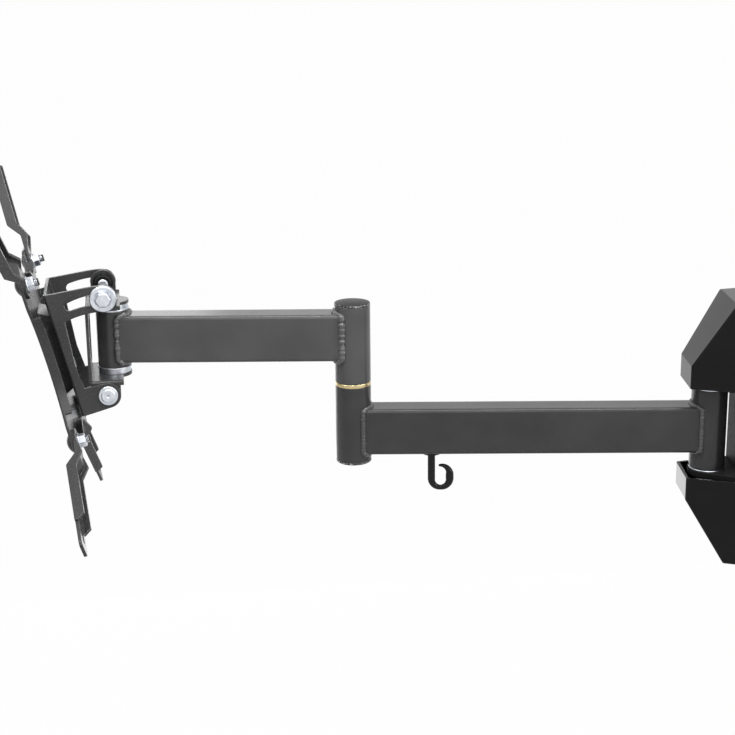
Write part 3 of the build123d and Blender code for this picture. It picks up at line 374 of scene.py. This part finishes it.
finishes = {
    inner_arm_coat: "wall_post inner_arm_bar elbow_lower_post",
    outer_arm_coat: "elbow_upper_post outer_arm_bar head_post",
    head_coat: "swivel_yoke tilt_bracket",
    plate_coat: "screen_plate arm_near_top arm_near_bottom arm_far_top arm_far_bottom",
    bracket_coat: "wall_plate upper_ear lower_ear",
    cover_plastic: "upper_cover lower_cover",
    post_cap_plastic: "elbow_top_cap elbow_bottom_cap",
    cap_plastic: "tilt_lock_nuts",
    bush_plastic: (
        "wall_bushes elbow_lower_bushes elbow_upper_bushes head_bushes tilt_friction_washers"
    ),
    hook_coat: "cable_hook hook_insert arm_bolts",
    zinc: (
        "wall_bolt wall_nut wall_washers wall_thrust_washers elbow_bolt elbow_nut elbow_washers"
        " head_bolt head_nut head_thrust_washers head_spacers tilt_lock_bolts tilt_lock_washers"
        " tilt_pivot_rivets dish_rivets arm_washers arm_nuts"
    ),
    brass: "brass_washer",
}
for material, names in finishes.items():
    for name in names.split():
        for held in nodes[name].material_slots:
            held.material = material

# Swept pieces: weld beads and screw threads follow a path, and Geometry Nodes sweep them
swell_power = 0.6
lump_scale = 330.0


def sweep_group():
    """A section swept along the edges of a mesh, with ripples and lumps like a weld's."""
    tree = bpy.data.node_groups.new("Swept Bead", "GeometryNodeTree")
    tree.interface.new_socket("Geometry", in_out="INPUT", socket_type="NodeSocketGeometry")
    for label, default in (("Radius", 0.0015), ("Pitch", 0.002), ("Ripple", 0.2), ("Lumps", 0.3)):
        socket = tree.interface.new_socket(label, in_out="INPUT", socket_type="NodeSocketFloat")
        socket.default_value = default
    sides = tree.interface.new_socket("Sides", in_out="INPUT", socket_type="NodeSocketInt")
    sides.default_value = 10
    tree.interface.new_socket("Finish", in_out="INPUT", socket_type="NodeSocketMaterial")
    tree.interface.new_socket("Geometry", in_out="OUTPUT", socket_type="NodeSocketGeometry")
    made = Tree(tree)
    given = made.add("NodeGroupInput").outputs
    curve = made.add("GeometryNodeMeshToCurve")
    made.join(given["Geometry"], curve.inputs[0])

    # The bead swells once in each pitch, and noise makes it uneven
    along = made.add("GeometryNodeSplineParameter").outputs["Length"]
    phase = made.maths("FRACT", made.maths("DIVIDE", along, given["Pitch"]))
    swell = made.maths("POWER", made.maths("SINE", made.maths("MULTIPLY", phase, pi)), swell_power)
    dip = made.maths("MULTIPLY", made.maths("SUBTRACT", 1.0, swell), given["Ripple"])
    lump = made.add("ShaderNodeTexNoise")
    made.join(made.add("GeometryNodeInputPosition").outputs[0], lump.inputs["Vector"])
    lump.inputs["Scale"].default_value = lump_scale
    centred = made.maths("SUBTRACT", lump.outputs["Fac"], 0.5)
    uneven = made.maths("MULTIPLY", centred, given["Lumps"])
    factor = made.maths("ADD", made.maths("SUBTRACT", 1.0, dip), uneven)
    width = made.add("GeometryNodeSetCurveRadius")
    made.join(curve.outputs[0], width.inputs[0])
    made.join(made.maths("MULTIPLY", factor, given["Radius"]), width.inputs["Radius"])

    # Where the sweep has a Scale socket, the width goes in there, and else it is the curve's own
    ring = made.add("GeometryNodeCurvePrimitiveCircle")
    ring.inputs["Radius"].default_value = 1.0
    made.join(given["Sides"], ring.inputs["Resolution"])
    swept = made.add("GeometryNodeCurveToMesh")
    made.join(width.outputs[0], swept.inputs["Curve"])
    made.join(ring.outputs[0], swept.inputs["Profile Curve"])
    if "Scale" in swept.inputs:
        made.join(made.add("GeometryNodeInputRadius").outputs[0], swept.inputs["Scale"])
    swept.inputs["Fill Caps"].default_value = True
    whole = made.add("GeometryNodeRealizeInstances")
    made.join(swept.outputs[0], whole.inputs[0])
    painted = made.add("GeometryNodeSetMaterial")
    made.join(whole.outputs[0], painted.inputs[0])
    made.join(given["Finish"], painted.inputs["Material"])
    made.join(painted.outputs[0], made.add("NodeGroupOutput").inputs[0])
    return tree


swept_bead = sweep_group()


def swept_piece(name, body, slot, finish, paths, closed, **values):
    """One mesh, swept along every path, which rides on a body."""
    points, edges = [], []
    for path in paths:
        first = len(points)
        points += path
        edges += [(first + i, first + i + 1) for i in range(len(path) - 1)]
        if closed:
            edges.append((len(points) - 1, first))
    mesh = bpy.data.meshes.new(name)
    mesh.from_pydata(points, edges, [])
    piece = bpy.data.objects.new(name, mesh)
    bpy.context.collection.objects.link(piece)
    modifier = piece.modifiers.new("sweep", "NODES")
    modifier.node_group = swept_bead
    identifiers = {item.name: item.identifier for item in swept_bead.interface.items_tree}
    for label, value in values.items():
        modifier[identifiers[label.title()]] = value
    modifier[identifiers["Finish"]] = finish
    evaluated = piece.evaluated_get(bpy.context.evaluated_depsgraph_get())
    baked = bpy.data.meshes.new_from_object(evaluated)
    piece.modifiers.remove(modifier)
    piece.data = baked
    baked.name = name
    for face in baked.polygons:
        face.use_smooth = True
    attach(piece, body)
    return piece


# Weld beads: one round each end of both bars
weld_step = 0.0005
corner_steps = 9


def bar_outline(axis_y, toward, radius, middle_z):
    """The closed line where a bar's rounded outline meets the round face of a post."""
    half_x, half_z = bar_width / 2, bar_height / 2
    spots = []
    for turn, (corner_x, corner_z) in enumerate(((1, 1), (-1, 1), (-1, -1), (1, -1))):
        for step in range(corner_steps + 1):
            angle = (turn + step / corner_steps) * pi / 2
            spots.append(
                (
                    corner_x * (half_x - bar_corner) + bar_corner * cos(angle),
                    corner_z * (half_z - bar_corner) + bar_corner * sin(angle),
                )
            )
    path = []
    for (x, z), (next_x, next_z) in zip(spots, spots[1:] + spots[:1]):
        pieces = max(1, round(Vector((next_x - x, next_z - z)).length / weld_step))
        for part in range(pieces):
            across = x + (next_x - x) * part / pieces
            up = z + (next_z - z) * part / pieces
            path.append((across, axis_y + toward * sqrt(radius**2 - across**2), middle_z + up))
    return path


swept_piece(
    "inner_arm_welds", "inner_arm", "arm_paint", inner_weld_coat,
    [
        bar_outline(wall_axis_y, -1, post_radius, 0.0),
        bar_outline(elbow_axis_y, 1, post_radius, 0.0),
    ],
    closed=True, radius=0.0024, pitch=0.0030, ripple=0.20, lumps=0.5,
)
swept_piece(
    "outer_arm_welds", "outer_arm", "arm_paint", outer_weld_coat,
    [
        bar_outline(elbow_axis_y, -1, post_radius, outer_arm_z),
        bar_outline(head_axis_y, 1, head_post_radius, outer_arm_z),
    ],
    closed=True, radius=0.0028, pitch=0.0048, ripple=0.22, lumps=1.3,
)

# Places at the head: the same turned planes as the solids have
head_across = Vector((cos(head_swivel), sin(head_swivel), 0))
head_away = Vector((-sin(head_swivel), cos(head_swivel), 0))
upright = Vector((0, 0, 1))
head_centre = Vector((0, head_axis_y, outer_arm_z))
pivot_point = head_centre - head_away * pivot_ahead - upright * lug_half_spacing
tilt_back = head_away * cos(head_tilt) + upright * sin(head_tilt)
tilt_up = head_across.cross(tilt_back)
plate_back = web_ahead + plate_depth - plate_sheet
plate_centre = pivot_point - tilt_back * plate_back + tilt_up * web_middle_up

# Threads: an angular section wound round each bolt's end, from the nut to just short of the tip
turn_steps = 20
thread_sides = 4
thread_sunk = 0.0001
arm_thread_pitch = 0.001
arm_thread_radius = 0.00034
arm_thread_short = 0.0006
lock_thread_pitch = 0.00125
lock_thread_radius = 0.0004
lock_thread_short = 0.0007


def thread_path(start, direction, bolt_radius, length, pitch):
    """A helix a little inside a bolt's face, from the start along the direction."""
    side = direction.orthogonal().normalized()
    other = direction.cross(side)
    radius = bolt_radius - thread_sunk
    turns = length / pitch
    count = round(turns * turn_steps)
    path = []
    for step in range(count + 1):
        angle = 2 * pi * turns * step / count
        rise = direction * (length * step / count)
        path.append(tuple(start + rise + (side * cos(angle) + other * sin(angle)) * radius))
    return path


arm_threads = []
arm_thread_length = arm_bolt_point - arm_thread_short
for side_x in (arm_bolt_x, -arm_bolt_x):
    for side_z in (arm_bolt_z, -arm_bolt_z):
        foot = plate_centre + head_across * side_x + tilt_up * side_z + tilt_back * arm_nut_end
        arm_threads.append(
            thread_path(foot, tilt_back, arm_bolt_radius, arm_thread_length, arm_thread_pitch)
        )
swept_piece(
    "arm_bolt_threads", "tilt_head", "zinc", zinc, arm_threads,
    closed=False, radius=arm_thread_radius, ripple=0.0, lumps=0.0, sides=thread_sides,
)

lock_threads = []
lock_thread_length = lock_bolt_point - lock_thread_short
lock_height = upright * lug_half_spacing - head_away * pivot_ahead
nut_end = yoke_half_width - ear_sheet - lock_nut_height
for side in (1, -1):
    foot = head_centre + lock_height + head_across * side * nut_end
    inward = head_across * -side
    lock_threads.append(
        thread_path(foot, inward, lock_bolt_radius, lock_thread_length, lock_thread_pitch)
    )
swept_piece(
    "lock_bolt_threads", "swivel_head", "zinc", zinc, lock_threads,
    closed=False, radius=lock_thread_radius, ripple=0.0, lumps=0.0, sides=thread_sides,
)

# Stage: a wide floor below the mount and a white world. The rays that show a surface see both
# as plain white, but for a small share of the lit floor, which keeps the object's shadow.
floor_half = 90.0
floor_z = -0.75
floor_glow = 0.985
sky_strengths = (0.14, 0.40)


def stage_material():
    material = bpy.data.materials.new("floor_white")
    material.use_nodes = True
    tree = Tree(material.node_tree)
    shader = material.node_tree.nodes["Principled BSDF"]
    shader.inputs["Roughness"].default_value = 0.9
    speck = tree.spread(tree.noise(6.0), 0.3, 0.7, 0.0, 1.0)
    tree.join(tree.blend(speck, grey(0.90), grey(0.93)), shader.inputs["Base Color"])
    glow = tree.add("ShaderNodeEmission")
    glow.inputs["Color"].default_value = (1, 1, 1, 1)
    seen = tree.maths("MULTIPLY", tree.seen_rays(), floor_glow)
    mixed = tree.add("ShaderNodeMixShader")
    tree.join(seen, mixed.inputs[0])
    tree.join(shader.outputs[0], mixed.inputs[1])
    tree.join(glow.outputs[0], mixed.inputs[2])
    output = material.node_tree.nodes["Material Output"]
    tree.join(mixed.outputs[0], output.inputs["Surface"])
    return material


floor_mesh = bpy.data.meshes.new("floor")
floor_mesh.from_pydata(
    [
        (-floor_half, -floor_half, floor_z),
        (floor_half, -floor_half, floor_z),
        (floor_half, floor_half, floor_z),
        (-floor_half, floor_half, floor_z),
    ],
    [],
    [(0, 1, 2, 3)],
)
floor = bpy.data.objects.new("floor", floor_mesh)
floor_mesh.materials.append(stage_material())
bpy.context.collection.objects.link(floor)

# World: dim grey light, stronger from above, and white for the rays that show a surface
world = bpy.data.worlds.new("studio")
bpy.context.scene.world = world
world.use_nodes = True
sky = Tree(world.node_tree)
surround = world.node_tree.nodes["Background"]
direction = sky.add("ShaderNodeSeparateXYZ")
sky.join(sky.add("ShaderNodeTexCoord").outputs["Generated"], direction.inputs[0])
overhead = sky.spread(direction.outputs["Z"], -0.20, 0.80, *sky_strengths)
sky.join(overhead, surround.inputs["Strength"])
backdrop = sky.add("ShaderNodeBackground")
backdrop.inputs["Color"].default_value = (1, 1, 1, 1)
backdrop.inputs["Strength"].default_value = 1.0
chosen = sky.add("ShaderNodeMixShader")
sky.join(sky.seen_rays(), chosen.inputs[0])
sky.join(surround.outputs[0], chosen.inputs[1])
sky.join(backdrop.outputs[0], chosen.inputs[2])
sky.join(chosen.outputs[0], world.node_tree.nodes["World Output"].inputs["Surface"])


def soft_light(name, position, target, size, power):
    """A flat lamp that the camera doesn't see, facing a target, with its size and its watts."""
    data = bpy.data.lights.new(name, "AREA")
    data.shape = "RECTANGLE"
    data.size, data.size_y = size
    data.energy = power
    lamp = bpy.data.objects.new(name, data)
    place = Vector(position)
    aim = (Vector(target) - place).to_track_quat("-Z", "Y").to_matrix().to_4x4()
    lamp.matrix_world = Matrix.Translation(place) @ aim
    lamp.visible_camera = False
    bpy.context.collection.objects.link(lamp)


soft_light("back_left_light", (-1.3, -1.05, 0.15), (0, -0.45, 0.10), (0.9, 1.3), 3.9)
soft_light("back_low_light", (-1.3, -0.35, -0.74), (0, -0.20, 0.00), (1.4, 0.5), 3.4)
soft_light("top_light", (0.36, -0.33, 1.25), (0, -0.33, 0.05), (1.7, 0.20), 22)
soft_light("key_light", (0.50, 0.95, 0.50), (0, -0.30, 0.05), (0.6, 0.6), 8.5)
soft_light("front_light", (2.2, -0.30, 1.00), (0, -0.30, 0.05), (0.9, 0.9), 11)
soft_light("left_light", (0.52, -1.40, 0.72), (0, -0.10, 0.05), (0.4, 0.4), 2.2)

bpy.context.scene.view_settings.view_transform = "Standard"
